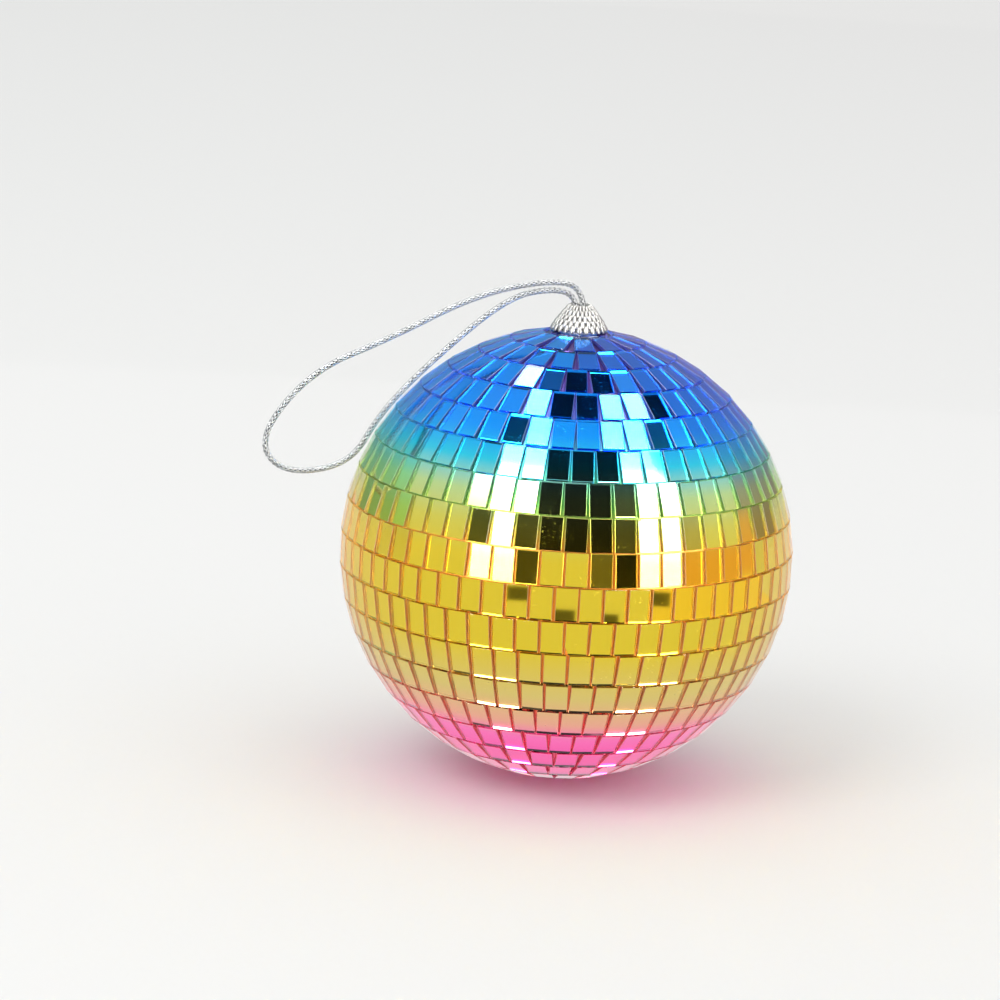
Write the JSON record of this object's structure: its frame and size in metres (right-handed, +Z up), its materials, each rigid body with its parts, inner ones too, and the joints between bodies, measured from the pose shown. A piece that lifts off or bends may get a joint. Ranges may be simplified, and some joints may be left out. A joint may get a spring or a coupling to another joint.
{
  "type": "mirror ball",
  "caption": "Mirror ball faced in rows of small flat tinted mirror tiles, with a silver cap and a cord loop to hang it by.",
  "frame": {"origin": "middle of the flat foot the ball stands on", "axes": "+Z up through the ball, the cap and the cord hole; the loop lies over the -X side"},
  "size_m": [0.1769, 0.15, 0.1669],
  "materials": {
    "mirror_blue": "tinted mirror, blue",
    "mirror_teal": "tinted mirror, teal",
    "mirror_green": "tinted mirror, yellow-green",
    "mirror_gold": "tinted mirror, gold",
    "mirror_beige": "tinted mirror, pale gold",
    "mirror_peach": "tinted mirror, peach",
    "mirror_pink": "tinted mirror, pink",
    "core_plastic": "moulded, hidden by the mirrors",
    "foot_plastic": "moulded, pink",
    "cap_metal": "silver plated, worked in relief",
    "cord_metallic": "silver metallic twist"
  },
  "bodies": {
    "ball": {"tiles_01": "mirror_pink", "film_01": "mirror_pink", "tiles_02": "mirror_pink", "film_02": "mirror_pink", "tiles_03": "mirror_pink", "film_03": "mirror_pink", "tiles_04": "mirror_pink", "film_04": "mirror_pink", "tiles_05": "mirror_pink", "film_05": "mirror_pink", "tiles_06": "mirror_peach", "film_06": "mirror_peach", "tiles_07": "mirror_beige", "film_07": "mirror_beige", "tiles_08": "mirror_gold", "film_08": "mirror_gold", "tiles_09": "mirror_gold", "film_09": "mirror_gold", "tiles_10": "mirror_gold", "film_10": "mirror_gold", "tiles_11": "mirror_gold", "film_11": "mirror_gold", "tiles_12": "mirror_gold", "film_12": "mirror_gold", "tiles_13": "mirror_green", "film_13": "mirror_green", "tiles_14": "mirror_teal", "film_14": "mirror_teal", "tiles_15": "mirror_blue", "film_15": "mirror_blue", "tiles_16": "mirror_blue", "film_16": "mirror_blue", "tiles_17": "mirror_blue", "film_17": "mirror_blue", "tiles_18": "mirror_blue", "film_18": "mirror_blue", "tiles_19": "mirror_blue", "film_19": "mirror_blue", "core_lower": "core_plastic", "core_upper": "core_plastic", "film_top": "mirror_blue", "polar_tiles_top": "mirror_blue", "foot": "foot_plastic", "cap": "cap_metal"},
    "loop": {"cord_loop": "cord_metallic", "cord_knot": "cord_metallic"}
  },
  "joints": [
    {"name": "loop_swivel", "type": "hinge", "parent": "ball", "child": "loop", "pos_m": [0, 0, 0.1585], "axis": [0, 0, 1], "continuous": true}
  ]
}
